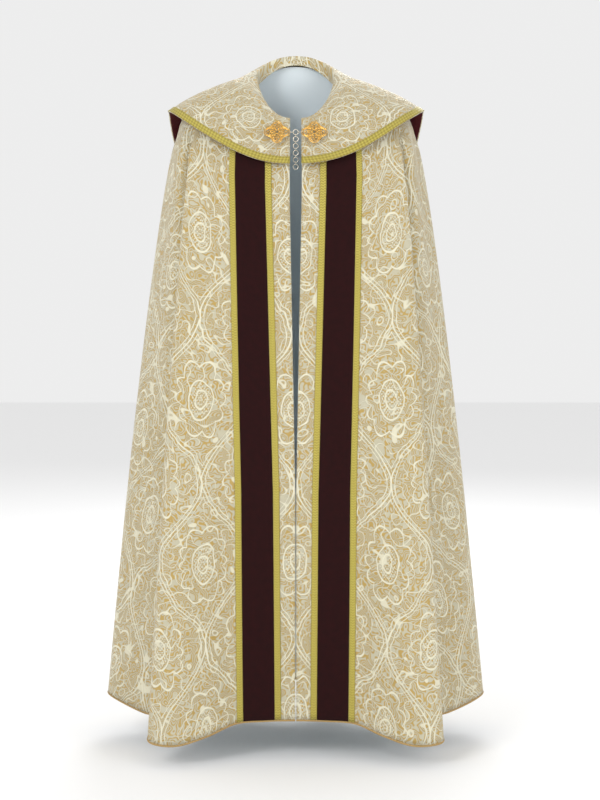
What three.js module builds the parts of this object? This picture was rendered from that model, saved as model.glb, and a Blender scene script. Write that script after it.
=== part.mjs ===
// A liturgical cope: an open-fronted floor-length cloak with a round cape collar, two velvet bands
// down the front, gold braid, a gilt clasp and a short hanging chain. It is modelled as it hangs
// from a wearer's shoulders, hollow, in millimetres, +Z up, with its front towards -Y. The origin
// is between the shoulders that hold it up.
import * as THREE from "three";

// ---- Driving sizes -------------------------------------------------------------------------
const CLOTH = 2; // wall of the interlined brocade panels
const LINING = 1.2; // wall of a lining
const LINING_CLEAR = 1.2; // clearance between the back and its lining
const SEAM = 0.3; // clearance between pieces that are sewn together
const CAMBER = 0.78; // how early the flare opens on the way down: 1 is a straight line
const FRONT_GAP_TOP = 13.5; // half the opening between the fronts, at the shoulder line
const FRONT_GAP_HEM = 0.8; // half the opening where the fronts meet
const FRONT_GAP_CLOSES = -900; // height at which the fronts have come together
const COLLAR_GAP = 12.5; // half the opening between the collar's front edges
const BAND = { stripTop: 40, stripHem: 32, braid: 15, velvet: 71 }; // widths, from each front edge outwards
const BAND_TOP = 2.1; // how far down the shoulder rings the bands start, hidden by the collar
const BAND_LIFT = 0.4; // clearance between a band and the panel under it
const BRAID_THICK = 1.2;
const VELVET_THICK = 1.6;
const COLLAR_BRAID = 16; // width of the braid round the collar
const PIPING = 5; // height and thickness of the corded hem
const PIPING_CLEAR = 1.6; // clearance between the cord and the panel above it
const CLASP = { across: 41.4, tilt: 34, halfWidth: 29.5, thick: 2.4, lift: 5, level: 2.95, eye: 3.4 };
const RING = { mean: 5.6, wire: 0.9 }; // chain rings: mean radius and wire radius
const LINK = { mean: 3.9, wire: 0.6 }; // the small link that joins one ring to the next
const LOOP = { mean: 5.9, wire: 0.6 }; // the loop through a plate's eye and the middle ring
const RING_PITCH = 15.2; // from one hanging ring to the next
const HANGING_RINGS = 5;

// ---- Rings round the shoulders -------------------------------------------------------------
// Each ring is an oval round the neck. across, front and back are its half width and its depths;
// zFront, zSide and zBack are its heights there. frontDrop and backDrop say how late the height
// falls from the side to the front and back; flat and square how boxy its front and back are.
const BODY_RINGS = [
  { across: 102, front: 116, zFront: -80, frontDrop: 1.3, flat: 1,
    zSide: 26, back: 84, zBack: 68, backDrop: 2, square: 0.9 },
  { across: 138, front: 122, zFront: -93, frontDrop: 2.1, flat: 0.95,
    zSide: 18, back: 92, zBack: 46, backDrop: 1.8, square: 0.85 },
  { across: 206, front: 140, zFront: -124, frontDrop: 2.3, flat: 0.8,
    zSide: -8, back: 116, zBack: -44, backDrop: 1.6, square: 0.8 },
  { across: 249, front: 150, zFront: -152, frontDrop: 2.4, flat: 0.7,
    zSide: -40, back: 134, zBack: -140, backDrop: 1.5, square: 0.75 },
  { across: 276, front: 158, zFront: -215, frontDrop: 2.5, flat: 0.6,
    zSide: -106, back: 146, zBack: -240, backDrop: 1.5, square: 0.75 },
];
const COLLAR_RINGS = [
  { across: 84, front: 110, zFront: -63, frontDrop: 1.2, flat: 1,
    zSide: 22, back: 72, zBack: 70, backDrop: 2, square: 0.9 },
  { across: 92, front: 113, zFront: -61, frontDrop: 1.2, flat: 1,
    zSide: 45, back: 82, zBack: 92, backDrop: 1.7, square: 0.85 },
  { across: 134, front: 127, zFront: -82, frontDrop: 2.2, flat: 0.9,
    zSide: 34, back: 102, zBack: 66, backDrop: 1.6, square: 0.8 },
  { across: 206, front: 148, zFront: -112, frontDrop: 2.4, flat: 0.75,
    zSide: 7, back: 130, zBack: -22, backDrop: 1.4, square: 0.7 },
  { across: 255, front: 160, zFront: -138, frontDrop: 2.5, flat: 0.65,
    zSide: -18, back: 148, zBack: -130, backDrop: 1.3, square: 0.6 },
  { across: 290, front: 169, zFront: -163, frontDrop: 2.5, flat: 0.6,
    zSide: -42, back: 176, zBack: -330, backDrop: 1.3, square: 0.6 },
];

// ---- Fold lines of the skirt ---------------------------------------------------------------
// Each line runs from the lowest shoulder ring, at a turn in degrees from the front, to a point
// of the hem. The fronts are mirror images; the folds of the back are uneven.
const FRONT_LINES = [
  { name: "front_edge", turn: 0, x: FRONT_GAP_HEM, y: -178, z: -1406 },
  { name: "band_middle", turn: 16, x: 66, y: -184, z: -1406 },
  { name: "band_edge", turn: 32, x: 134, y: -196, z: -1409 },
  { name: "lobe_inner", turn: 41, x: 196, y: -226, z: -1430 },
  { name: "lobe", turn: 48, x: 266, y: -250, z: -1446 },
  { name: "ridge", turn: 54, x: 328, y: -234, z: -1440 },
  { name: "turn_in", turn: 58, x: 316, y: -176, z: -1420 },
  { name: "side_seam", turn: 62, x: 292, y: -118, z: -1412 },
];
const BACK_LINES = [
  { name: "left_side_front", turn: 71, x: 352, y: -62, z: -1416 },
  { name: "left_side", turn: 89, x: 440, y: 26, z: -1392 },
  { name: "left_side_back", turn: 106, x: 408, y: 130, z: -1398 },
  { name: "left_outer_valley", turn: 120, x: 312, y: 152, z: -1400 },
  { name: "left_outer_ridge", turn: 135, x: 268, y: 248, z: -1408 },
  { name: "left_inner_valley", turn: 149, x: 166, y: 204, z: -1404 },
  { name: "left_inner_ridge", turn: 164, x: 98, y: 286, z: -1410 },
  { name: "back_valley", turn: 181, x: -8, y: 230, z: -1404 },
  { name: "right_inner_ridge", turn: 197, x: -108, y: 276, z: -1409 },
  { name: "right_inner_valley", turn: 212, x: -178, y: 210, z: -1404 },
  { name: "right_outer_ridge", turn: 226, x: -274, y: 252, z: -1408 },
  { name: "right_outer_valley", turn: 241, x: -318, y: 148, z: -1400 },
  { name: "right_side_back", turn: 255, x: -410, y: 124, z: -1398 },
  { name: "right_side", turn: 271, x: -440, y: 24, z: -1392 },
  { name: "right_side_front", turn: 289, x: -352, y: -62, z: -1416 },
];
const mirrored = (line) => ({ ...line, turn: 360 - line.turn, x: -line.x });
const LINES = [...FRONT_LINES, ...BACK_LINES, ...FRONT_LINES.map(mirrored).reverse()];
const LEFT_SEAM = FRONT_LINES.length - 1; // station of the seam between left front and back
const RIGHT_SEAM = LEFT_SEAM + BACK_LINES.length + 1;
const LAST_STATION = LINES.length - 1;
const SHOULDER_RINGS = BODY_RINGS.length - 1; // levels 0 to this lie on the shoulders
const HEM = SHOULDER_RINGS + 1; // the level of the hem

// ---- Small helpers -------------------------------------------------------------------------
const { lerp, clamp, degToRad } = THREE.MathUtils;

function span(from, to, count) {
  return Array.from({ length: count }, (_, i) => lerp(from, to, i / (count - 1)));
}

// A smooth value between the second and third of four values in a row.
function smoothBetween(a, b, c, d, t) {
  const bend = 2 * a - 5 * b + 4 * c - d + t * (3 * (b - c) + d - a);
  return b + 0.5 * t * (c - a + t * bend);
}

// A smooth curve through a list of points, at a fractional place in the list.
function through(list, place, pointOf) {
  const i = clamp(Math.floor(place), 0, list.length - 2);
  const near = [i - 1, i, i + 1, i + 2].map((k) => pointOf(list[clamp(k, 0, list.length - 1)]));
  const mix = (axis) => smoothBetween(...near.map((p) => p[axis]), place - i);
  return new THREE.Vector3(mix("x"), mix("y"), mix("z"));
}

// The point of an oval ring at a turn in degrees from the front, with an opening at the front.
function ringPoint(ring, turn, gap) {
  const sine = Math.sin(degToRad(turn));
  const cosine = Math.cos(degToRad(turn));
  const isFront = cosine >= 0;
  const bulge = Math.abs(sine) ** (isFront ? 1 : ring.square);
  const side = turn > 180 ? -1 : 1;
  const opening = isFront ? gap * cosine ** 2 : 0;
  const fall = Math.abs(cosine) ** (isFront ? ring.frontDrop : ring.backDrop);
  return new THREE.Vector3(
    side * (opening + (ring.across - opening) * bulge),
    isFront ? -ring.front * cosine ** ring.flat : -cosine * ring.back,
    lerp(ring.zSide, isFront ? ring.zFront : ring.zBack, fall),
  );
}

// Half the opening between the front edges at a height.
function frontGap(z) {
  const top = BODY_RINGS[SHOULDER_RINGS].zFront;
  const share = clamp((z - top) / (FRONT_GAP_CLOSES - top), 0, 1);
  return lerp(FRONT_GAP_TOP, FRONT_GAP_HEM, share);
}

// ---- The two surfaces everything is cut from -----------------------------------------------
// The body: station runs along LINES from the left front edge round the back to the right one,
// and level runs from the neck (0) over the shoulder rings to the hem.
function body(station, level) {
  if (level <= SHOULDER_RINGS)
    return through(LINES, station, (line) =>
      through(BODY_RINGS, level, (ring) => ringPoint(ring, line.turn, FRONT_GAP_TOP)),
    );
  const share = level - SHOULDER_RINGS;
  return through(LINES, station, (line) => {
    const top = ringPoint(BODY_RINGS[SHOULDER_RINGS], line.turn, FRONT_GAP_TOP);
    const z = lerp(top.z, line.z, share);
    const isEdge = line.name === "front_edge";
    const x = isEdge ? Math.sign(line.x) * frontGap(z) : lerp(top.x, line.x, share ** CAMBER);
    return new THREE.Vector3(x, lerp(top.y, line.y, share), z);
  });
}

// The collar: turn is in degrees from the front, and level runs from the neck to the outer edge.
function collar(turn, level) {
  return through(COLLAR_RINGS, level, (ring) => ringPoint(ring, turn, COLLAR_GAP));
}
const COLLAR_EDGE = COLLAR_RINGS.length - 1;

// The outward normal of a surface, from its points a little to each side.
function normalOf(surface, place, b) {
  const step = 0.02;
  const a = surface === collar ? clamp(place, 2 * step, 360 - 2 * step) : place; // never past an edge
  const along = surface(a + step, b).sub(surface(a - step, b));
  const down = surface(a, b + step).sub(surface(a, b - step));
  return down.cross(along).normalize();
}

// The place along a surface, at a fixed second or first parameter, that lies a distance from a start.
function placeAtDistance(pointAt, start, end, distance) {
  const steps = 240;
  let before = pointAt(start);
  let walked = 0;
  for (let i = 1; i <= steps; i++) {
    const place = lerp(start, end, i / steps);
    const here = pointAt(place);
    const stride = here.distanceTo(before);
    const overshoot = walked + stride - distance;
    if (overshoot >= 0) return place - (overshoot / stride) * ((end - start) / steps);
    walked += stride;
    before = here;
  }
  return end;
}

// ---- Turning a grid of points into a closed wall -------------------------------------------
// outer and inner are grids of the same size: rows of points, seen from outside.
function wallBetween(outer, inner) {
  const rows = outer.length;
  const columns = outer[0].length;
  const points = [...outer.flat(), ...inner.flat()];
  const out = (r, c) => r * columns + c;
  const inn = (r, c) => rows * columns + r * columns + c;
  const faces = [];
  const quad = (a, b, c, d) => faces.push(a, b, c, a, c, d);
  for (let r = 0; r < rows - 1; r++)
    for (let c = 0; c < columns - 1; c++) {
      quad(out(r, c), out(r + 1, c), out(r + 1, c + 1), out(r, c + 1));
      quad(inn(r, c), inn(r, c + 1), inn(r + 1, c + 1), inn(r + 1, c));
    }
  for (let c = 0; c < columns - 1; c++) {
    quad(out(0, c), out(0, c + 1), inn(0, c + 1), inn(0, c));
    quad(out(rows - 1, c + 1), out(rows - 1, c), inn(rows - 1, c), inn(rows - 1, c + 1));
  }
  for (let r = 0; r < rows - 1; r++) {
    quad(out(r + 1, 0), out(r, 0), inn(r, 0), inn(r + 1, 0));
    quad(out(r, columns - 1), out(r + 1, columns - 1), inn(r + 1, columns - 1), inn(r, columns - 1));
  }
  const geometry = new THREE.BufferGeometry();
  const numbers = points.flatMap((p) => [p.x, p.y, p.z]);
  geometry.setAttribute("position", new THREE.Float32BufferAttribute(numbers, 3));
  geometry.setIndex(faces);
  geometry.computeVertexNormals();
  return geometry;
}

// A wall on a surface: places is a grid of [a, b] parameters, and from and to its offsets outwards.
function wallOn(surface, places, from, to) {
  const moved = (offset) =>
    places.map((row) => row.map(([a, b]) => surface(a, b).addScaledVector(normalOf(surface, a, b), offset)));
  return wallBetween(moved(to), moved(from));
}

function gridOf(aValues, bValues) {
  return bValues.map((b) => aValues.map((a) => [a, b]));
}

// ---- Materials -----------------------------------------------------------------------------
const cloth = (color, roughness) => new THREE.MeshStandardMaterial({ color, roughness, metalness: 0 });
const metal = (color) => new THREE.MeshStandardMaterial({ color, roughness: 0.3, metalness: 1 });
const MATERIALS = {
  brocade: cloth("#cfc5a2", 0.6),
  velvet: cloth("#2c0206", 0.9),
  braid: cloth("#c9b24a", 0.45),
  piping: cloth("#a8854a", 0.6),
  paleLining: cloth("#d3e2e6", 0.5),
  crimsonLining: cloth("#3a0410", 0.6),
  gilt: metal("#d9a63a"),
  silver: metal("#d8d2c0"),
};

const cope = new THREE.Group();

function add(name, geometry, material, parent = cope) {
  const mesh = new THREE.Mesh(geometry, material);
  mesh.name = name;
  parent.add(mesh);
  return mesh;
}

// ---- Body panels and lining ----------------------------------------------------------------
const LEVELS = [0, 0.7, 1.4, BAND_TOP, 2.8, 3.4, ...span(SHOULDER_RINGS, HEM, 6)];
const SEAM_STATIONS = 0.015; // the seam's clearance, in stations

// Distances from a front edge at which its panel is creased, so that the bands lie flat on it.
// They are measured from the brocade strip's outer edge, and the strip narrows towards the hem.
const VELVET_FROM = BAND.braid;
const VELVET_TO = VELVET_FROM + BAND.velvet;
const BANDS_END = VELVET_TO + BAND.braid;
const BAND_COLUMNS = [0, ...span(VELVET_FROM, VELVET_TO, 4), BANDS_END];
const FREE_COLUMNS = 10; // columns between the bands and the side seam

// The width of the brocade strip along a front edge, at a level.
function stripWidth(level) {
  return lerp(BAND.stripTop, BAND.stripHem, clamp(level - SHOULDER_RINGS, 0, 1));
}

// The station that lies a distance from the front edge, at a level of a front.
function stationAt(distance, level, isRight) {
  const start = isRight ? LAST_STATION : 0;
  const end = isRight ? LAST_STATION - 4 : 4;
  return placeAtDistance((station) => body(station, level), start, end, distance);
}

// The grid of one front panel, from its front edge to its side seam, or the other way round.
function frontPlaces(isRight) {
  return LEVELS.map((level) => {
    const strip = stripWidth(level);
    const distances = [0, strip / 2, ...BAND_COLUMNS.map((distance) => strip + distance)];
    const banded = distances.map((distance) => stationAt(distance, level, isRight));
    const seam = isRight ? RIGHT_SEAM + SEAM_STATIONS : LEFT_SEAM - SEAM_STATIONS;
    const free = span(banded.at(-1), seam, FREE_COLUMNS).slice(1);
    const row = [...banded, ...free].map((station) => [station, level]);
    return isRight ? row.reverse() : row;
  });
}
add("front_left", wallOn(body, frontPlaces(false), -CLOTH, 0), MATERIALS.brocade);
add("front_right", wallOn(body, frontPlaces(true), -CLOTH, 0), MATERIALS.brocade);

const backStations = span(LEFT_SEAM + SEAM_STATIONS, RIGHT_SEAM - SEAM_STATIONS, 33);
add("back", wallOn(body, gridOf(backStations, LEVELS), -CLOTH, 0), MATERIALS.brocade);

const liningStations = [LEFT_SEAM + 0.06, ...backStations.slice(1, -1), RIGHT_SEAM - 0.06];
const liningLevels = [0.05, ...LEVELS.slice(1, -1), HEM - 0.01];
const liningFace = -CLOTH - LINING_CLEAR;
const liningGrid = gridOf(liningStations, liningLevels);
add("back_lining", wallOn(body, liningGrid, liningFace - LINING, liningFace), MATERIALS.paleLining);

// ---- Bands down the fronts -----------------------------------------------------------------
// A strip that lies on a front, along some of the distances at which its panel is creased.
function frontStrip(name, isRight, distances, thick, material) {
  const levels = LEVELS.filter((level) => level >= BAND_TOP);
  const inset = (distance, i) => {
    const isFirst = i === 0;
    const isLast = i === distances.length - 1;
    return distance + (isFirst ? SEAM / 2 : 0) - (isLast ? SEAM / 2 : 0);
  };
  const places = levels.map((level) => {
    const fromEdge = distances.map((distance, i) => stripWidth(level) + inset(distance, i));
    const row = fromEdge.map((distance) => [stationAt(distance, level, isRight), level]);
    return isRight ? row.reverse() : row;
  });
  add(name, wallOn(body, places, BAND_LIFT, BAND_LIFT + thick), material);
}
const velvetColumns = BAND_COLUMNS.filter((distance) => distance >= VELVET_FROM && distance <= VELVET_TO);
for (const side of ["left", "right"]) {
  const isRight = side === "right";
  frontStrip(`braid_inner_${side}`, isRight, [0, VELVET_FROM], BRAID_THICK, MATERIALS.braid);
  frontStrip(`velvet_${side}`, isRight, velvetColumns, VELVET_THICK, MATERIALS.velvet);
  frontStrip(`braid_outer_${side}`, isRight, [VELVET_TO, BANDS_END], BRAID_THICK, MATERIALS.braid);
}

// ---- Corded hem ----------------------------------------------------------------------------
// A cord below a panel's hem, along the stations of the panel's own lowest row.
function hemPiping(name, stations) {
  const face = (offset) =>
    [PIPING_CLEAR, PIPING_CLEAR + PIPING].map((drop) =>
      stations.map((station) => {
        const below = new THREE.Vector3(0, 0, -drop).add(body(station, HEM));
        return below.addScaledVector(normalOf(body, station, HEM), offset);
      }),
    );
  const middle = -CLOTH / 2;
  const geometry = wallBetween(face(middle + PIPING / 2), face(middle - PIPING / 2));
  add(name, geometry, MATERIALS.piping);
}
const hemOf = (places) => places.at(-1).map(([station]) => station);
hemPiping("piping_left", hemOf(frontPlaces(false)));
hemPiping("piping_back", backStations);
hemPiping("piping_right", hemOf(frontPlaces(true)));

// ---- Cape collar ---------------------------------------------------------------------------
const TURNS = span(0, 360, 37);
const COLLAR_LEVELS = [0, 0.5, 1, 1.6, 2.3, 3, 4];

// The level at which the braid's inner edge lies, which the collar is creased along too.
const braidLevel = (turn) => placeAtDistance((level) => collar(turn, level), COLLAR_EDGE, 2, COLLAR_BRAID);
const braidRows = [braidLevel, () => COLLAR_EDGE].map((level) => TURNS.map((turn) => [turn, level(turn)]));
const collarRows = [...gridOf(TURNS, COLLAR_LEVELS), ...braidRows];
add("collar", wallOn(collar, collarRows, -CLOTH, 0), MATERIALS.brocade);
add("collar_braid", wallOn(collar, braidRows, BAND_LIFT, BAND_LIFT + BRAID_THICK), MATERIALS.braid);

const collarLiningRows = collarRows.slice(4);
const liningOut = -CLOTH - SEAM;
const collarLiningWall = wallOn(collar, collarLiningRows, liningOut - LINING, liningOut);
add("collar_lining", collarLiningWall, MATERIALS.crimsonLining);

// ---- Clasp and chain -----------------------------------------------------------------------
// A pierced lozenge plate with rounded lobes. Its inner corner, towards +X, carries an eye hole.
function plateGeometry() {
  const lobed = (radius, lobe, count) => (i) => {
    const angle = (i / count) * 2 * Math.PI;
    const reach = radius * (1 + lobe * Math.cos(4 * angle));
    return new THREE.Vector2(reach * Math.cos(angle), reach * Math.sin(angle));
  };
  const outline = Array.from({ length: 40 }, (_, i) => lobed(CLASP.halfWidth * 0.86, 0.163, 40)(i));
  const shape = new THREE.Shape(outline);
  const hole = (x, y, radius, sides) => {
    const corner = (_, i) => {
      const angle = (-i / sides) * 2 * Math.PI;
      return new THREE.Vector2(x + radius * Math.cos(angle), y + radius * Math.sin(angle));
    };
    shape.holes.push(new THREE.Path(Array.from({ length: sides }, corner)));
  };
  const eye = CLASP.halfWidth - CLASP.eye;
  hole(eye, 0, 1.7, 8);
  for (const [x, y] of [[0, 1], [-1, 0], [0, -1]]) hole(x * 17, y * 17, 3.4, 8);
  for (const [x, y] of [[1, 1], [-1, 1], [-1, -1], [1, -1]]) hole(x * 8.5, y * 8.5, 2.8, 8);
  return new THREE.ExtrudeGeometry(shape, { depth: CLASP.thick, bevelEnabled: false });
}

// The place of the right plate's middle, on the collar.
const claspRight = (() => {
  const turn = 360 - 18.5;
  return { turn, level: CLASP.level, normal: normalOf(collar, turn, CLASP.level) };
})();
const claspPoint = collar(claspRight.turn, claspRight.level).addScaledVector(claspRight.normal, CLASP.lift);

function placePlate(side) {
  const holder = new THREE.Group();
  holder.position.set(side * CLASP.across, claspPoint.y, claspPoint.z);
  holder.rotation.set(degToRad(90 - CLASP.tilt), 0, side > 0 ? Math.PI : 0, "XYZ");
  cope.add(holder);
  return holder;
}
const plateRight = placePlate(-1);
const plateLeft = placePlate(1);
add("clasp_plate_right", plateGeometry(), MATERIALS.gilt, plateRight);
add("clasp_plate_left", plateGeometry(), MATERIALS.gilt, plateLeft);

// A closed ring of round wire, in a plane that holds +Z and the given flat direction.
function addRing(name, size, centre, turnX, turnY, material) {
  const mesh = add(name, new THREE.TorusGeometry(size.mean, size.wire, 6, 12), material);
  mesh.rotation.set(turnX, turnY, 0);
  mesh.position.copy(centre);
}

// The middle ring hangs between the plates, level with their eyes, and a loop joins it to each.
const tilt = degToRad(CLASP.tilt);
const plateNormal = new THREE.Vector3(0, -Math.cos(tilt), Math.sin(tilt));
const ringCentre = claspPoint.clone().setX(0).addScaledVector(plateNormal, CLASP.thick / 2);
addRing("clasp_ring", RING, ringCentre, Math.PI / 2, 0, MATERIALS.silver);
const eyeX = CLASP.across - CLASP.halfWidth + CLASP.eye;
for (const [side, sign] of [["right", -1], ["left", 1]]) {
  const loopCentre = ringCentre.clone().setX(sign * (eyeX - LOOP.mean));
  addRing(`clasp_loop_${side}`, LOOP, loopCentre, 0, 0, MATERIALS.silver);
}

// The chain below it swings about the bottom of the middle ring: links and rings by turns.
for (let i = 1; i <= HANGING_RINGS; i++) {
  const ringAt = ringCentre.clone().setZ(ringCentre.z - i * RING_PITCH);
  const linkAt = ringAt.clone().setZ(ringAt.z + RING_PITCH / 2);
  addRing(`chain_link_${i}`, LINK, linkAt, 0, Math.PI / 2, MATERIALS.silver);
  addRing(`chain_ring_${i}`, RING, ringAt, Math.PI / 2, 0, MATERIALS.silver);
}

export default cope;
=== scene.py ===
# %% [markdown]
# # A brocade cope
# A cope is a half circle of cloth worn over the shoulders and clasped on the chest. This lesson
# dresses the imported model, the frame, with real cloth: figured brocade, velvet bands, gold braid,
# a satin lining and a filigree clasp. Every length is in metres.

import bmesh
import bpy
import numpy as np
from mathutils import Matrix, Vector


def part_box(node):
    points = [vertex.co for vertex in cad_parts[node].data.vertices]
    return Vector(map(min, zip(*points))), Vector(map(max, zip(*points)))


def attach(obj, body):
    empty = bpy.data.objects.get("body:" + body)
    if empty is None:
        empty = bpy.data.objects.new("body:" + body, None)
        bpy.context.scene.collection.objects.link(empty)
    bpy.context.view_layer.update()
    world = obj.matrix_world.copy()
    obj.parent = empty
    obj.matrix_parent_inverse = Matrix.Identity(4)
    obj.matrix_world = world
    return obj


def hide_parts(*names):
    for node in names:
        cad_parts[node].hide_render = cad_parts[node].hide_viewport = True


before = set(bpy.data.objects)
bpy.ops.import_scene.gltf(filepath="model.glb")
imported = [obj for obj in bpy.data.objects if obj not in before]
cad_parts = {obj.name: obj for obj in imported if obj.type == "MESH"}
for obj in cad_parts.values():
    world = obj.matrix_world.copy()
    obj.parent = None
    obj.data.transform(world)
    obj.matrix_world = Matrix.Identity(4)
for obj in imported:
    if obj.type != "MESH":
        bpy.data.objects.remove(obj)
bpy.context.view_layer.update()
GARMENT, CHAIN = "garment", "chain"
MM = 0.001

# %% [markdown]
# ## The draped surface
# On the real cope the cloth hangs from the shoulders in cones, so each fold is a nearly straight
# line from shoulder to hem. The surface is made the same way: ovals round the shoulders, then a
# line for each fold. A cloth simulation would also do, but lines keep the folds where they belong.

# %% Ovals round the shoulders
RING_COLUMNS = (  # lengths in mm; the drops, flat and square are powers that shape the oval
    "across", "front", "z_front", "front_drop", "flat", "z_side", "back", "z_back", "back_drop", "square",
)
BODY_RINGS = (
    (102, 116, -80, 1.3, 1, 26, 84, 68, 2, 0.9),
    (138, 122, -93, 2.1, 0.95, 18, 92, 46, 1.8, 0.85),
    (206, 140, -124, 2.3, 0.8, -8, 116, -44, 1.6, 0.8),
    (249, 150, -152, 2.4, 0.7, -40, 134, -140, 1.5, 0.75),
    (276, 158, -215, 2.5, 0.6, -106, 146, -240, 1.5, 0.75),
)
COLLAR_RINGS = (
    (84, 110, -63, 1.2, 1, 22, 72, 70, 2, 0.9),
    (92, 113, -61, 1.2, 1, 45, 82, 92, 1.7, 0.85),
    (134, 127, -82, 2.2, 0.9, 34, 102, 66, 1.6, 0.8),
    (206, 148, -112, 2.4, 0.75, 7, 130, -22, 1.4, 0.7),
    (255, 160, -138, 2.5, 0.65, -18, 148, -130, 1.3, 0.6),
    (290, 169, -163, 2.5, 0.6, -42, 176, -330, 1.3, 0.6),
)


def ring_table(rows):
    return {name: np.array(column, float) for name, column in zip(RING_COLUMNS, zip(*rows))}


BODY_TABLE, COLLAR_TABLE = ring_table(BODY_RINGS), ring_table(COLLAR_RINGS)
SHOULDER = len(BODY_RINGS) - 1
HEM = SHOULDER + 1
COLLAR_EDGE = len(COLLAR_RINGS) - 1
print("rings", len(BODY_RINGS), "body,", len(COLLAR_RINGS), "collar")

# %% Fold lines of the skirt: turn from the front in degrees, then the point of the hem in mm
FRONT_LINES = (
    (0, 0.8, -178, -1406), (16, 66, -184, -1406), (32, 134, -196, -1409), (41, 196, -226, -1430),
    (48, 266, -250, -1446), (54, 328, -234, -1440), (58, 316, -176, -1420), (62, 292, -118, -1412),
)
BACK_LINES = (
    (71, 352, -62, -1416), (89, 440, 26, -1392), (106, 408, 130, -1398), (120, 312, 152, -1400),
    (135, 268, 248, -1408), (149, 166, 204, -1404), (164, 98, 286, -1410), (181, -8, 230, -1404),
    (197, -108, 276, -1409), (212, -178, 210, -1404), (226, -274, 252, -1408), (241, -318, 148, -1400),
    (255, -410, 124, -1398), (271, -440, 24, -1392), (289, -352, -62, -1416),
)
RIGHT_FRONT = tuple((360 - turn, -x, y, z) for turn, x, y, z in reversed(FRONT_LINES))
LINES = np.array(FRONT_LINES + BACK_LINES + RIGHT_FRONT, float)
LEFT_SEAM = len(FRONT_LINES) - 1
RIGHT_SEAM = LEFT_SEAM + len(BACK_LINES) + 1
LAST = len(LINES) - 1
GAP_TOP, GAP_HEM, GAP_CLOSES, COLLAR_GAP, CAMBER = 13.5, 0.8, -900.0, 12.5, 0.78
print("fold lines", len(LINES))


# %% Smooth curves through rings and lines
def through(count, place, point_of):
    i = np.clip(np.floor(place).astype(int), 0, count - 2)
    t = (place - i)[..., None]
    a, b, c, d = (point_of(np.clip(i + k, 0, count - 1)) for k in (-1, 0, 1, 2))
    return b + 0.5 * t * (c - a + t * (2 * a - 5 * b + 4 * c - d + t * (3 * (b - c) + d - a)))


def ring_point(table, ring, turn, gap):
    row = {name: column[ring] for name, column in table.items()}
    sine, cosine = np.sin(np.radians(turn)), np.cos(np.radians(turn))
    front = cosine >= 0
    level = np.abs(cosine)
    bulge = np.abs(sine) ** np.where(front, 1, row["square"])
    opening = np.where(front, gap * cosine**2, 0)
    fall = level ** np.where(front, row["front_drop"], row["back_drop"])
    x = np.where(turn > 180, -1, 1) * (opening + (row["across"] - opening) * bulge)
    y = np.where(front, -row["front"] * level ** row["flat"], level * row["back"])
    z = row["z_side"] + (np.where(front, row["z_front"], row["z_back"]) - row["z_side"]) * fall
    return np.stack([x, y, z], -1)


def body_mm(station, level):
    """The cope's own surface: station goes round from the left front edge, level goes down."""

    def on_shoulder(line):
        turn = LINES[line, 0]
        high = np.minimum(level, SHOULDER)
        return through(HEM, high, lambda ring: ring_point(BODY_TABLE, ring, turn, GAP_TOP))

    def on_skirt(line):
        turn, x, y, z = (LINES[line, k] for k in range(4))
        top = ring_point(BODY_TABLE, np.full(line.shape, SHOULDER), turn, GAP_TOP)
        share = np.maximum(level - SHOULDER, 1e-6)
        down = top[..., 2] + (z - top[..., 2]) * share
        closed = np.clip((down - BODY_TABLE["z_front"][-1]) / (GAP_CLOSES - BODY_TABLE["z_front"][-1]), 0, 1)
        edge = np.sign(x) * (GAP_TOP + (GAP_HEM - GAP_TOP) * closed)
        flared = top[..., 0] + (x - top[..., 0]) * share**CAMBER
        out = np.where((line == 0) | (line == LAST), edge, flared)
        return np.stack([out, top[..., 1] + (y - top[..., 1]) * share, down], -1)

    high, low = through(LAST + 1, station, on_shoulder), through(LAST + 1, station, on_skirt)
    return np.where((level <= SHOULDER)[..., None], high, low)


def collar_mm(turn, level):
    """The cape collar's surface: turn in degrees from the front, level from neck to edge."""
    return through(COLLAR_EDGE + 1, level, lambda ring: ring_point(COLLAR_TABLE, ring, turn, COLLAR_GAP))


# %% [markdown]
# ## Creases placed by hand
# Besides its main folds a heavy brocade has soft creases that start under the collar and die out.
# Each row is one: where it lies, how wide it is, how deep, and between which levels it shows.
# They sit on both fronts, a little unlike each other, as on real cloth.

# %% Soft creases
CREASES = (  # station, half width in stations, depth in mm, first level, last level
    (6.7, 0.45, -11, 3.3, 4.75), (5.6, 0.5, 5, 3.4, 4.8), (3.5, 0.5, -3.5, 3.8, 4.7), (4.5, 0.35, 3, 4.1, 4.95),
    (8.6, 0.4, -6, 3.6, 4.6), (9.7, 0.35, 4, 3.8, 4.9), (13.4, 0.5, -5, 3.9, 4.8), (17.6, 0.5, 4, 3.7, 4.7),
    (LAST - 6.7, 0.45, -10, 3.3, 4.7), (LAST - 5.5, 0.5, 4.5, 3.4, 4.85), (LAST - 3.6, 0.45, -3, 3.9, 4.6),
    (LAST - 4.6, 0.35, 3, 4.2, 4.95), (LAST - 8.7, 0.4, -5, 3.5, 4.5), (LAST - 9.6, 0.35, 4, 3.9, 4.9),
)


def crease(station, level):
    push = 0.8 * np.sin(station * 5.1 + level * 3.0) * np.clip(level - 3.6, 0, 1)
    for centre, width, depth, first, last in CREASES:
        across = np.exp(-(((station - centre) / width) ** 2))
        along = np.clip((level - first) / (last - first), 0, 1)
        push = push + depth * across * np.sin(np.pi * along)
    near_edge = np.minimum(station, LAST - station)
    return push * np.clip((near_edge - 2.6) / 0.7, 0, 1)


def normal_of(surface, a, b, step=0.02):
    if surface is collar_mm:
        a = np.clip(a, 2 * step, 360 - 2 * step)
    along = surface(a + step, b) - surface(a - step, b)
    down = surface(a, b + step) - surface(a, b - step)
    cross = np.cross(down, along)
    return cross / np.linalg.norm(cross, axis=-1, keepdims=True)


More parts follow.
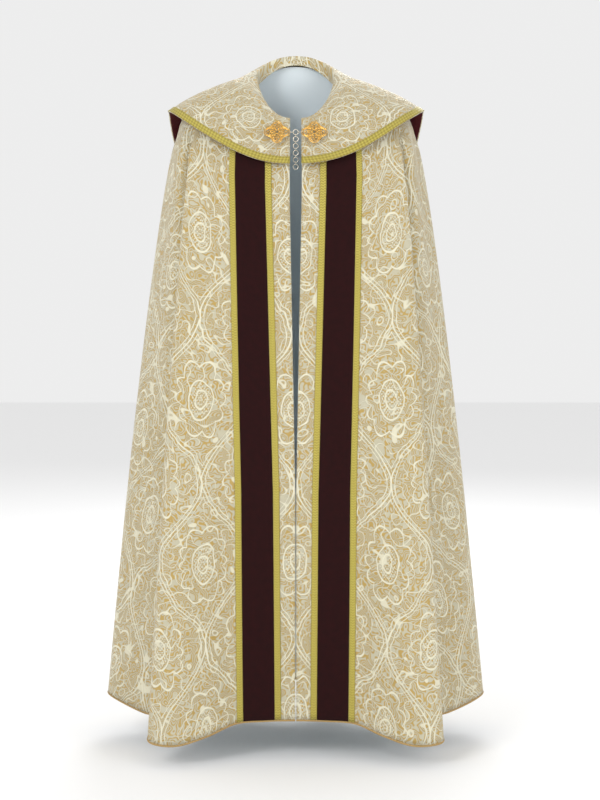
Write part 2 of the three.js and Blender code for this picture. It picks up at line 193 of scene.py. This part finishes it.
def body_at(station, level, lift=0.0):
    """A point of the creased cope, in metres, lifted off it in mm."""
    push = (crease(station, level) + lift)[..., None]
    return (body_mm(station, level) + push * normal_of(body_mm, station, level)) * MM


def collar_at(turn, level, lift=0.0):
    """A point of the collar, in metres, with the slight waves that its stiff lining gives it."""
    wave = 1.6 * np.sin(np.radians(turn) * 9 + 0.6) * np.clip((level - 2) / 3, 0, 1)
    return (collar_mm(turn, level) + (wave + lift)[..., None] * normal_of(collar_mm, turn, level)) * MM


# %% [markdown]
# ## Cutting a piece from a surface
# A maker cuts cloth flat, and its weave then lies along it. Here a grid of points becomes a mesh,
# and its UVs are distances in metres along the cloth, so a pattern keeps its real size. Solidify
# then gives the cloth its thickness.


# %% From a grid to a cloth piece
def run_lengths(points, axis):
    steps = np.linalg.norm(np.diff(points, axis=axis), axis=-1)
    start = np.zeros_like(np.take(steps, [0], axis=axis))
    return np.concatenate([start, np.cumsum(steps, axis=axis)], axis=axis)


def cloth_piece(name, points, finish, thickness, anchor=0, level_cloth=False):
    """points is a grid of rows from the top down; anchor is the column that the pattern starts from."""
    rows, columns = points.shape[:2]
    across, down = run_lengths(points, 1), run_lengths(points, 0)
    across = across - across[:, anchor : anchor + 1]
    index = np.arange(rows * columns).reshape(rows, columns)
    quads = np.stack([index[:-1, :-1], index[1:, :-1], index[1:, 1:], index[:-1, 1:]], -1).reshape(-1, 4)
    mesh = bpy.data.meshes.new(name)
    mesh.from_pydata(points.reshape(-1, 3).tolist(), [], quads.tolist())
    uv = mesh.uv_layers.new(name="cloth")
    flat = np.stack([across, down.mean(axis=1, keepdims=True) + 0 * across], -1)
    if level_cloth:  # the weave stays level, as in a cape cut from one straight width
        flat = np.stack([points[..., 0], np.abs(points[..., 1]) - points[..., 2]], -1)
    flat = flat.reshape(-1, 2)
    loops = np.empty(len(mesh.loops), int)
    mesh.loops.foreach_get("vertex_index", loops)
    uv.data.foreach_set("uv", flat[loops].ravel())
    mesh.shade_smooth()
    piece = bpy.data.objects.new(name, mesh)
    bpy.context.collection.objects.link(piece)
    mesh.materials.append(finish)
    wall = piece.modifiers.new("thickness", "SOLIDIFY")
    wall.thickness = thickness * MM
    wall.offset = -1
    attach(piece, GARMENT)
    return piece


# %% [markdown]
# ## Writing a finish as nodes
# Weaves and patterns are sums: waves, circles and thresholds. These small helpers add one Math
# node each, so that the pattern below reads as a formula, and the result is still an ordinary
# node tree that can be opened and changed.


# %% Helpers for node trees
class Weave:
    """Adds nodes to a tree. Values are sockets or numbers."""

    def __init__(self, tree):
        self.tree = tree

    def node(self, kind, **settings):
        made = self.tree.nodes.new(kind)
        for key, value in settings.items():
            setattr(made, key, value)
        return made

    def put(self, value, socket):
        if isinstance(value, bpy.types.NodeSocket):
            self.tree.links.new(value, socket)
        else:
            socket.default_value = value

    def math(self, operation, *values):
        made = self.node("ShaderNodeMath", operation=operation)
        for value, socket in zip(values, made.inputs):
            self.put(value, socket)
        return made.outputs[0]

    def line(self, distance, width):
        """1 on a line, 0 away from it, with a soft edge."""
        made = self.node("ShaderNodeMapRange", interpolation_type="SMOOTHSTEP")
        for value, socket in zip((self.math("ABSOLUTE", distance), width * 0.5, width, 1.0, 0.0), made.inputs):
            self.put(value, socket)
        return made.outputs[0]

    def noise(self, vector, scale, detail=2.0):
        made = self.node("ShaderNodeTexNoise")
        self.put(vector, made.inputs["Vector"])
        self.put(scale, made.inputs["Scale"])
        made.inputs["Detail"].default_value = detail
        return made.outputs[0]

    def mix(self, share, a, b):
        made = self.node("ShaderNodeMix", data_type="RGBA")
        for value, key in ((share, 0), (a, 6), (b, 7)):
            self.put(value, made.inputs[key])
        return made.outputs[2]


def group(name, inputs, outputs):
    """A node group with named inputs and outputs, and its helper."""
    tree = bpy.data.node_groups.new(name, "ShaderNodeTree")
    for label, kind, value in inputs:
        socket = tree.interface.new_socket(label, in_out="INPUT", socket_type=kind)
        if value is not None:
            socket.default_value = value
    for label, kind in outputs:
        tree.interface.new_socket(label, in_out="OUTPUT", socket_type=kind)
    return tree, Weave(tree), tree.nodes.new("NodeGroupInput"), tree.nodes.new("NodeGroupOutput")


FLOAT, COLOR, VECTOR = "NodeSocketFloat", "NodeSocketColor", "NodeSocketVector"

# %% [markdown]
# ## The brocade figure
# Church brocade often repeats a pointed net, the ogee, with a pomegranate in each mesh and fine
# gold scrolls between. The net is two mirrored waves, a pomegranate is rings round a centre with
# lobes, and the scrolls are the level lines of a smooth noise, as a draughtsman fills a ground.

# %% The figure as a node group
REPEAT_WIDE, REPEAT_HIGH = 0.21, 0.36
figure, w, given, made = group(
    "brocade figure",
    (("Cloth", VECTOR, None), ("Scroll Scale", FLOAT, 34.0)),
    (("Cream", FLOAT), ("Gold", FLOAT), ("Height", FLOAT)),
)
parts = w.node("ShaderNodeSeparateXYZ")
w.put(given.outputs["Cloth"], parts.inputs[0])
sway = w.math("MULTIPLY", w.math("SUBTRACT", w.noise(given.outputs["Cloth"], 16.0), 0.5), 0.022)
u = w.math("ADD", w.math("ABSOLUTE", parts.outputs[0]), sway)
v = w.math("ADD", parts.outputs[1], sway)


def folded(value, period, shift=0.0):
    """Distance from the nearest repeat's centre, from minus to plus half a period."""
    turns = w.math("FRACT", w.math("ADD", w.math("DIVIDE", value, period), shift + 0.5))
    return w.math("MULTIPLY", w.math("SUBTRACT", turns, 0.5), period)


def ogee_mesh(shift):
    """One set of meshes: its outline, double line, pomegranate and crown."""
    x = w.math("ABSOLUTE", folded(u, REPEAT_WIDE, shift))
    y = folded(v, REPEAT_HIGH, shift)
    wave = w.math("COSINE", w.math("MULTIPLY", y, 2 * np.pi / REPEAT_HIGH))
    edge = w.math("MULTIPLY", w.math("ADD", wave, 1.0), REPEAT_WIDE * 0.25)
    off = w.math("SUBTRACT", x, edge)
    net = w.math("MAXIMUM", w.line(off, 0.0024), w.line(w.math("ADD", off, 0.009), 0.0016))
    angle = w.math("ARCTAN2", x, y)
    radius = w.math("SQRT", w.math("ADD", w.math("POWER", x, 2.0), w.math("POWER", w.math("MULTIPLY", y, 0.62), 2.0)))
    lobes = w.math("MULTIPLY", w.math("ABSOLUTE", w.math("SINE", w.math("MULTIPLY", angle, 5.0))), 0.011)
    leaf = w.line(w.math("SUBTRACT", w.math("SUBTRACT", radius, 0.044), lobes), 0.0019)
    fruit = w.line(w.math("SUBTRACT", radius, 0.026), 0.0018)
    core = w.line(w.math("SUBTRACT", radius, 0.012), 0.0018)
    seed_columns = w.math("SINE", w.math("MULTIPLY", x, 900.0))
    seed_rows = w.math("SINE", w.math("MULTIPLY", y, 700.0))
    seeds = w.math("MULTIPLY", seed_columns, seed_rows)
    inside = w.math("LESS_THAN", radius, 0.022)
    seeded = w.math("MULTIPLY", w.math("GREATER_THAN", seeds, 0.35), inside)
    drawn = w.math("MAXIMUM", w.math("MAXIMUM", net, leaf), w.math("MAXIMUM", fruit, core))
    return w.math("MAXIMUM", drawn, w.math("MULTIPLY", seeded, 0.8))


net = w.math("MAXIMUM", ogee_mesh(0.0), ogee_mesh(0.5))
tendril_field = w.math("MULTIPLY", w.noise(given.outputs["Cloth"], 15.0, 1.0), 9.0)
tendril = w.line(w.math("SUBTRACT", w.math("FRACT", tendril_field), 0.5), 0.09)
cream = w.math("MAXIMUM", net, w.math("MULTIPLY", tendril, 0.75))
field = w.noise(given.outputs["Cloth"], given.outputs["Scroll Scale"], 1.0)
levels = w.math("FRACT", w.math("MULTIPLY", field, 12.0))
scroll = w.line(w.math("SUBTRACT", levels, 0.5), 0.3)
calm = w.math("GREATER_THAN", w.noise(given.outputs["Cloth"], 9.0), 0.3)
gold = w.math("MULTIPLY", w.math("MULTIPLY", scroll, calm), w.math("SUBTRACT", 1.0, cream))
w.put(cream, made.inputs["Cream"])
w.put(gold, made.inputs["Gold"])
w.put(w.math("ADD", cream, w.math("MULTIPLY", gold, 0.45)), made.inputs["Height"])
print("figure nodes", len(figure.nodes))

# %% The thread of a weave, shared by the brocade and the satins
thread, w, given, made = group("thread", (("Cloth", VECTOR, None), ("Threads", FLOAT, 900.0)), (("Height", FLOAT),))
parts = w.node("ShaderNodeSeparateXYZ")
w.put(given.outputs["Cloth"], parts.inputs[0])
warp = w.math("SINE", w.math("MULTIPLY", parts.outputs[0], w.math("MULTIPLY", given.outputs["Threads"], 6.2832)))
weft = w.math("SINE", w.math("MULTIPLY", parts.outputs[1], w.math("MULTIPLY", given.outputs["Threads"], 6.2832)))
w.put(w.math("MULTIPLY", warp, weft), made.inputs["Height"])
print("thread nodes", len(thread.nodes))


# %% Starting a finish
def new_finish(name, roughness, metallic=0.0, sheen=0.0):
    finish = bpy.data.materials.new(name)
    finish.use_nodes = True
    shader = finish.node_tree.nodes["Principled BSDF"]
    shader.inputs["Roughness"].default_value = roughness
    shader.inputs["Metallic"].default_value = metallic
    shader.inputs["Sheen Weight"].default_value = sheen
    if not metallic:
        shader.inputs["Specular IOR Level"].default_value = 0.25
    w = Weave(finish.node_tree)
    cloth = w.node("ShaderNodeUVMap", uv_map="cloth").outputs[0]
    return finish, shader, w, cloth


def place_group(w, tree, cloth, **values):
    made = w.node("ShaderNodeGroup", node_tree=tree)
    w.put(cloth, made.inputs["Cloth"])
    for key, value in values.items():
        made.inputs[key.replace("_", " ")].default_value = value
    return made


def raise_surface(w, shader, height, distance, strength=1.0):
    bump = w.node("ShaderNodeBump")
    bump.inputs["Strength"].default_value = strength
    bump.inputs["Distance"].default_value = distance
    w.put(height, bump.inputs["Height"])
    w.put(bump.outputs[0], shader.inputs["Normal"])


# %% Brocade: silver ivory ground, gold scrolls, cream raised outlines
def make_brocade(name, ground, deep):
    finish, shader, w, cloth = new_finish(name, 0.5, sheen=0.25)
    drawn = place_group(w, figure, cloth)
    woven = place_group(w, thread, cloth, Threads=700.0)
    base = w.mix(w.noise(cloth, 5.0), ground, deep)
    scrolled = w.mix(w.math("MULTIPLY", drawn.outputs["Gold"], 0.85), base, (0.50, 0.32, 0.06, 1))
    w.put(w.mix(drawn.outputs["Cream"], scrolled, (0.80, 0.76, 0.58, 1)), shader.inputs["Base Color"])
    w.put(w.math("SUBTRACT", 0.58, w.math("MULTIPLY", drawn.outputs["Gold"], 0.22)), shader.inputs["Roughness"])
    w.put(w.math("MULTIPLY", drawn.outputs["Gold"], 0.35), shader.inputs["Metallic"])
    height = w.math("ADD", drawn.outputs["Height"], w.math("MULTIPLY", woven.outputs[0], 0.12))
    raise_surface(w, shader, height, 0.0018, 1.0)
    return finish


brocade = make_brocade("brocade", (0.60, 0.57, 0.44, 1), (0.50, 0.45, 0.30, 1))


# %% Velvet, braid, piping and linings
def make_velvet():
    finish, shader, w, cloth = new_finish("velvet", 0.95, sheen=0.04)
    shader.inputs["Sheen Tint"].default_value = (0.3, 0.02, 0.03, 1)
    pile = w.noise(cloth, 60.0, 4.0)
    w.put(w.mix(pile, (0.009, 0.0002, 0.0004, 1), (0.02, 0.0006, 0.001, 1)), shader.inputs["Base Color"])
    raise_surface(w, shader, w.noise(cloth, 900.0, 2.0), 0.0005, 0.5)
    return finish


def make_braid(name, light, dark, period):
    finish, shader, w, cloth = new_finish(name, 0.42, sheen=0.1)
    parts = w.node("ShaderNodeSeparateXYZ")
    w.put(cloth, parts.inputs[0])
    step = 2 * np.pi / period
    slant = w.math("ADD", parts.outputs[1], w.math("MULTIPLY", w.math("PINGPONG", parts.outputs[0], 0.0038), 0.9))
    cords = w.math("SINE", w.math("MULTIPLY", slant, step))
    ribs = w.math("SINE", w.math("MULTIPLY", parts.outputs[0], 2 * np.pi / 0.0025))
    woven = w.math("ADD", w.math("MULTIPLY", cords, 0.35), w.math("ADD", w.math("MULTIPLY", ribs, 0.15), 0.5))
    w.put(w.mix(woven, dark, light), shader.inputs["Base Color"])
    w.put(w.math("MULTIPLY", woven, 0.45), shader.inputs["Metallic"])
    raise_surface(w, shader, woven, 0.0008)
    return finish


def make_satin(name, light, dark, sheen):
    finish, shader, w, cloth = new_finish(name, 0.42, sheen=sheen)
    w.put(w.mix(w.noise(cloth, 7.0, 3.0), dark, light), shader.inputs["Base Color"])
    woven = place_group(w, thread, cloth, Threads=1200.0)
    raise_surface(w, shader, woven.outputs[0], 0.0002, 0.4)
    return finish


velvet = make_velvet()
braid = make_braid("braid", (0.58, 0.50, 0.11, 1), (0.22, 0.16, 0.02, 1), 0.0058)
piping = make_braid("piping", (0.56, 0.38, 0.15, 1), (0.32, 0.2, 0.07, 1), 0.004)
# The lining satin is its own pale blue-white, with painted light on top: its colour is made brighter than the cloth's
# to stand in for the light that the hollow inside of the cope does not get.
pale_satin_painted_bright = make_satin("pale satin painted bright", (0.88, 0.95, 0.98, 1), (0.80, 0.89, 0.93, 1), 0.1)
crimson_satin = make_satin("crimson satin", (0.10, 0.004, 0.012, 1), (0.05, 0.001, 0.005, 1), 0.1)


# %% Gilt and silver
def make_metal(name, light, dark, roughness):
    finish, shader, w, _ = new_finish(name, roughness, metallic=1.0)
    place = w.node("ShaderNodeTexCoord").outputs["Object"]
    w.put(w.mix(w.noise(place, 260.0, 3.0), dark, light), shader.inputs["Base Color"])
    raise_surface(w, shader, w.noise(place, 700.0, 2.0), 0.0003, 0.4)
    return finish


gilt = make_metal("gilt", (0.98, 0.66, 0.2, 1), (0.55, 0.28, 0.06, 1), 0.26)
silver = make_metal("silver gilt", (0.86, 0.8, 0.66, 1), (0.5, 0.45, 0.35, 1), 0.25)

# %% [markdown]
# ## The body panels
# Two fronts and a back, each cut on the same surface. The columns of a front are laid out by
# distance from its edge, because a band is measured from the edge and keeps its width all the way.

# %% Laying out a front
ROWS = np.concatenate([np.linspace(0, SHOULDER, 40), np.linspace(SHOULDER, HEM, 90)[1:]])
BAND_ROWS = ROWS[ROWS >= 2.1]
STRIP_TOP, STRIP_HEM, BRAID, VELVET = 40, 32, 15, 71


def strip_width(level):
    return STRIP_TOP + (STRIP_HEM - STRIP_TOP) * np.clip(level - SHOULDER, 0, 1)


def stations_at(level, distances, is_right):
    """The stations that lie these distances in mm from a front edge, at one level."""
    walk = np.linspace(0, 4, 260)
    path = body_mm(LAST - walk if is_right else walk, np.full(walk.shape, level))
    station = np.interp(distances, run_lengths(path, 0), walk)
    return LAST - station if is_right else station


def front_grid(is_right):
    rows = []
    for level in ROWS:
        reach = strip_width(level) + 2 * BRAID + VELVET
        banded = stations_at(level, np.linspace(0, reach, 26), is_right)
        seam = RIGHT_SEAM if is_right else LEFT_SEAM
        row = np.concatenate([banded, np.linspace(banded[-1], seam, 46)[1:]])
        rows.append(row[::-1] if is_right else row)
    return np.array(rows)


def band_grid(is_right, near, far, columns):
    """The stations of a band that runs from near to far, measured from the strip's outer edge."""
    rows = []
    for level in BAND_ROWS:
        row = stations_at(level, strip_width(level) + np.linspace(near, far, columns), is_right)
        rows.append(row[::-1] if is_right else row)
    return np.array(rows)


# %% Cutting the panels and their lining
CLOTH, LINING, LINING_DROP = 1.8, 1.0, 2.6
for side, stations in (
    ("front_left", front_grid(False)),
    ("front_right", front_grid(True)),
    ("back", np.tile(np.linspace(LEFT_SEAM, RIGHT_SEAM, 190), (len(ROWS), 1))),
):
    levels = np.repeat(ROWS[:, None], stations.shape[1], axis=1)
    anchor = {"front_left": 0, "front_right": stations.shape[1] - 1, "back": 95}[side]
    points = body_at(stations, levels)
    panel = cloth_piece(side + "_brocade", points, brocade, CLOTH, anchor)
    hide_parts(side)
    inside = body_at(stations, levels, -LINING_DROP)[:-1, 1:-1]
    # The inner lining takes the pale blue-white satin, whose colour holds painted light that brightens the shaded
    # hollow.
    lining = cloth_piece(side + "_satin_lining", inside, pale_satin_painted_bright, LINING)
    if side == "back":
        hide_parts("back_lining")

# %% [markdown]
# ## Bands and braid
# Velvet and braid are sewn flat on the brocade. Each is its own strip, lifted by a little over its
# own thickness, with a slight crown so that its edges catch the light as a sewn edge does.

# %% Sewing on the bands
BAND_CUTS = (  # name, from and to in mm, lift of its face in mm, columns, finish
    ("braid_inner", 0, BRAID, 1.9, 9, braid),
    ("velvet", BRAID, BRAID + VELVET, 2.1, 24, velvet),
    ("braid_outer", BRAID + VELVET, 2 * BRAID + VELVET, 1.9, 9, braid),
)
for side, is_right in (("left", False), ("right", True)):
    for name, near, far, lift, columns, finish in BAND_CUTS:
        stations = band_grid(is_right, near + 0.2, far - 0.2, columns)
        levels = np.repeat(BAND_ROWS[:, None], columns, axis=1)
        crown = 1 - np.abs(np.linspace(-1, 1, columns)) ** 6
        points = body_at(stations, levels, lift - 0.5 + 0.5 * crown[None, :])
        band = cloth_piece(f"{name}_{side}_strip", points, finish, 1.2)
        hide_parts(f"{name}_{side}")

# %% [markdown]
# ## The cape collar
# The collar is a ring of the same brocade that rolls over at the neck and lies on the shoulders.
# It has a crimson lining, which shows under the shoulder tips, and braid round its outer edge.

# %% Collar, lining and braid
TURNS = np.linspace(0, 360, 220)
COLLAR_ROWS = np.linspace(0, COLLAR_EDGE, 70)


def collar_piece(name, turns, levels, lift, finish, thickness, replaced):
    points = collar_at(turns, levels, lift)
    piece = cloth_piece(name, points, finish, thickness, points.shape[1] // 2, level_cloth=finish is brocade)
    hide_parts(replaced)
    return piece


turns, levels = np.meshgrid(TURNS, COLLAR_ROWS)
collar = collar_piece("collar_brocade", turns, levels, 0.0, brocade, CLOTH, "collar")
turns, levels = np.meshgrid(TURNS[1:-1], np.linspace(2.3, COLLAR_EDGE - 0.01, 40))
collar_piece(
    "collar_satin_lining", turns, levels, -2.4, crimson_satin, LINING, "collar_lining"
)


def edge_levels(turn, distances):
    """Levels that lie these distances in mm up from the collar's edge."""
    walk = np.linspace(COLLAR_EDGE, 2, 160)
    path = collar_mm(np.full(walk.shape, turn), walk)
    return np.interp(distances, run_lengths(path, 0), walk)


braid_levels = np.array([edge_levels(turn, np.linspace(16, 0, 9)) for turn in TURNS]).T
turns = np.repeat(TURNS[None, :], 9, axis=0)
collar_piece("collar_braid_strip", turns, braid_levels, 1.7, braid, 1.2, "collar_braid")

# %% [markdown]
# ## Corded hem
# The hem is bound over a cord. A tube along the hem line is the natural form: a ring of points
# carried along the row of stations where the panel ends.

# %% Hem cords
CORD = 2.4
HEM_RUNS = (  # side, first station, last station, points along it
    ("left", 0, LEFT_SEAM, 90), ("back", LEFT_SEAM, RIGHT_SEAM, 230), ("right", RIGHT_SEAM, LAST, 90),
)
for side, start, end, count in HEM_RUNS:
    station = np.linspace(start + 0.01, end - 0.01, count)
    spine = body_at(station, np.full(count, float(HEM)), -1.0) + np.array([0, 0, -CORD * MM])
    along = np.gradient(spine, axis=0)
    along /= np.linalg.norm(along, axis=1, keepdims=True)
    out = np.cross(along, [0.0, 0.0, 1.0])
    out /= np.linalg.norm(out, axis=1, keepdims=True)
    up = np.cross(out, along)
    angles = np.linspace(0, 2 * np.pi, 13)
    tube = [spine + CORD * MM * (np.cos(a) * out + np.sin(a) * up) for a in angles]
    cord = cloth_piece(f"hem_cord_{side}", np.array(tube), piping, 0.8)
    cord.modifiers.clear()
    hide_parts(f"piping_{side}")
print("hem cords", CORD, "mm radius")

# %% [markdown]
# ## The clasp
# Each half is a pierced plate of gilt filigree: wire scrolls inside a lobed frame, with beads
# where wires meet. Bevelled curves are the wire, and each plate is one curve of many splines.

# %% Filigree of one plate
PLATE_REACH, PLATE_TILT, WIRE = 0.0285, np.radians(34), 0.0011


def plate_splines():
    """Closed frames, then four scroll pairs and a middle rosette, in the plate's own plane."""
    turn = np.linspace(0, 2 * np.pi, 73)[:-1]
    frame_reach = PLATE_REACH * 0.86 * (1 + 0.163 * np.cos(4 * turn))
    for share in (1.0, 0.87):
        yield np.stack([share * frame_reach * np.cos(turn), share * frame_reach * np.sin(turn)], 1), True
    rosette = PLATE_REACH * (0.2 + 0.06 * np.cos(6 * turn))
    yield np.stack([rosette * np.cos(turn), rosette * np.sin(turn)], 1), True
    spin = np.linspace(0, 1, 34)
    for quarter in range(4):
        for hand in (-1, 1):
            reach = PLATE_REACH * 0.23 * (1 - 0.82 * spin)
            angle = hand * (spin * 3.6 * np.pi)
            centre = quarter * np.pi / 2 + hand * 0.43
            hub = PLATE_REACH * 0.5 * np.array([np.cos(centre), np.sin(centre)])
            scroll = hub + np.stack([reach * np.cos(angle + centre), reach * np.sin(angle + centre)], 1)
            yield scroll, False


def place_on_plate(flat, centre):
    x, y = flat[:, 0], flat[:, 1]
    dome = 0.0016 * (1 - (np.hypot(x, y) / PLATE_REACH) ** 2)
    up = np.stack([0 * x, y * np.sin(PLATE_TILT), y * np.cos(PLATE_TILT)], 1)
    out = dome[:, None] * np.array([0, -np.cos(PLATE_TILT), np.sin(PLATE_TILT)])
    return centre + np.stack([x, 0 * x, 0 * x], 1) + up + out


for side in ("left", "right"):
    low, high = (np.array(corner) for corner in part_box(f"clasp_plate_{side}"))
    middle = (low + high) / 2
    curve = bpy.data.curves.new(f"clasp_filigree_{side}", "CURVE")
    curve.dimensions = "3D"
    curve.bevel_depth = WIRE
    curve.bevel_resolution = 3
    for flat, closed in plate_splines():
        spline = curve.splines.new("POLY")
        spline.points.add(len(flat) - 1)
        path = place_on_plate(flat, middle)
        spline.points.foreach_set("co", np.c_[path, np.ones(len(path))].ravel())
        spline.use_cyclic_u = closed
    curve.materials.append(gilt)
    plate = bpy.data.objects.new(curve.name, curve)
    bpy.context.collection.objects.link(plate)
    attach(plate, GARMENT)
    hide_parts(f"clasp_plate_{side}")
    beads = bmesh.new()
    for quarter in range(8):
        angle, reach = quarter * np.pi / 4, PLATE_REACH * (0.7 if quarter % 2 == 0 else 0.5)
        spot = place_on_plate(np.array([[reach * np.cos(angle), reach * np.sin(angle)]]), middle)[0]
        made = bmesh.ops.create_uvsphere(beads, u_segments=14, v_segments=8, radius=0.0021)
        bmesh.ops.translate(beads, verts=made["verts"], vec=Vector(spot))
    mesh = bpy.data.meshes.new(f"clasp_beads_{side}")
    beads.to_mesh(mesh)
    mesh.shade_smooth()
    mesh.materials.append(gilt)
    bead_piece = bpy.data.objects.new(mesh.name, mesh)
    bpy.context.collection.objects.link(bead_piece)
    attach(bead_piece, GARMENT)
    print("clasp", side, "at", middle.round(4))

# %% [markdown]
# ## Rings and chain
# Rings of round wire: a torus in the box of each CAD ring. The chain hangs below the middle ring
# and swings as one piece.


# %% Round wire rings
def wire_ring(node, mean, wire):
    low, high = (np.array(corner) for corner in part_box(node))
    centre, size = (low + high) / 2, high - low
    axis = int(np.argmin(size))
    first, second = (k for k in range(3) if k != axis)
    around, tube = np.meshgrid(np.linspace(0, 2 * np.pi, 49)[:-1], np.linspace(0, 2 * np.pi, 17)[:-1], indexing="ij")
    points = np.zeros((48, 16, 3))
    points[..., first] = (mean + wire * np.cos(tube)) * np.cos(around)
    points[..., second] = (mean + wire * np.cos(tube)) * np.sin(around)
    points[..., axis] = wire * np.sin(tube)
    index = np.arange(48 * 16).reshape(48, 16)
    ahead, over = np.roll(index, -1, 0), np.roll(index, -1, 1)
    both = np.roll(ahead, -1, 1)
    mesh = bpy.data.meshes.new(node + "_wire")
    faces = np.stack([index, ahead, both, over], -1).reshape(-1, 4)
    mesh.from_pydata((points + centre).reshape(-1, 3).tolist(), [], faces.tolist())
    tidy = bmesh.new()
    tidy.from_mesh(mesh)
    bmesh.ops.recalc_face_normals(tidy, faces=tidy.faces)
    tidy.to_mesh(mesh)
    mesh.shade_smooth()
    mesh.materials.append(silver)
    piece = bpy.data.objects.new(mesh.name, mesh)
    bpy.context.collection.objects.link(piece)
    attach(piece, CHAIN if node.startswith("chain") else GARMENT)
    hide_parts(node)


RING, LINK, LOOP = (0.0056, 0.0009), (0.0039, 0.0006), (0.0059, 0.0006)
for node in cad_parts:
    if node.startswith("chain_link"):
        wire_ring(node, *LINK)
    elif node.startswith("chain_ring") or node == "clasp_ring":
        wire_ring(node, *RING)
    elif node.startswith("clasp_loop"):
        wire_ring(node, *LOOP)

# %% [markdown]
# ## Floor, light and camera
# The cope is shown as in a catalogue: a pale floor and large soft lights, so that the folds read
# by their slope and the gold by its gloss.

# %% Floor
FLOOR_Z = -1.50
floor_mesh = bpy.data.meshes.new("floor")
HALF_FLOOR = 9
corners = [(x * HALF_FLOOR, y * HALF_FLOOR, FLOOR_Z) for x, y in ((-1, -1), (1, -1), (1, 1), (-1, 1))]
floor_mesh.from_pydata(corners, [], [(0, 1, 2, 3)])
floor = bpy.data.objects.new("floor", floor_mesh)
bpy.context.collection.objects.link(floor)
paper = bpy.data.materials.new("paper floor")
paper.use_nodes = True
paper.node_tree.nodes["Principled BSDF"].inputs["Base Color"].default_value = (0.9, 0.9, 0.9, 1)
paper.node_tree.nodes["Principled BSDF"].inputs["Roughness"].default_value = 0.9
floor_mesh.materials.append(paper)


# %% Lights
def soft_light(name, place, aim, size, power):
    lamp = bpy.data.lights.new(name, "AREA")
    lamp.energy, lamp.size = power, size
    thing = bpy.data.objects.new(name, lamp)
    thing.location = place
    thing.rotation_euler = (Vector(aim) - Vector(place)).to_track_quat("-Z", "Y").to_euler()
    bpy.context.collection.objects.link(thing)


soft_light("key", (-2.2, -3.6, 1.4), (0, 0, -0.6), 1.6, 75)
soft_light("fill", (2.8, -3.2, 0.4), (0, 0, -0.8), 2.2, 45)
soft_light("back", (0.5, 3.2, 1.6), (0, 0, -0.6), 2.0, 60)
world = bpy.data.worlds.new("studio")
bpy.context.scene.world = world
world.use_nodes = True
world.node_tree.nodes["Background"].inputs[0].default_value = (1, 1, 1, 1)
world.node_tree.nodes["Background"].inputs[1].default_value = 0.85
bpy.context.scene.view_settings.view_transform = "Standard"

# %% Camera
camera_data = bpy.data.cameras.new("camera")
camera_data.lens = 90
camera = bpy.data.objects.new("camera", camera_data)
camera.location = (0.0095, -4.6, -0.3)
camera.rotation_euler = (Vector((0.0095, 0, -0.7)) - camera.location).to_track_quat("-Z", "Y").to_euler()
bpy.context.collection.objects.link(camera)
bpy.context.scene.camera = camera
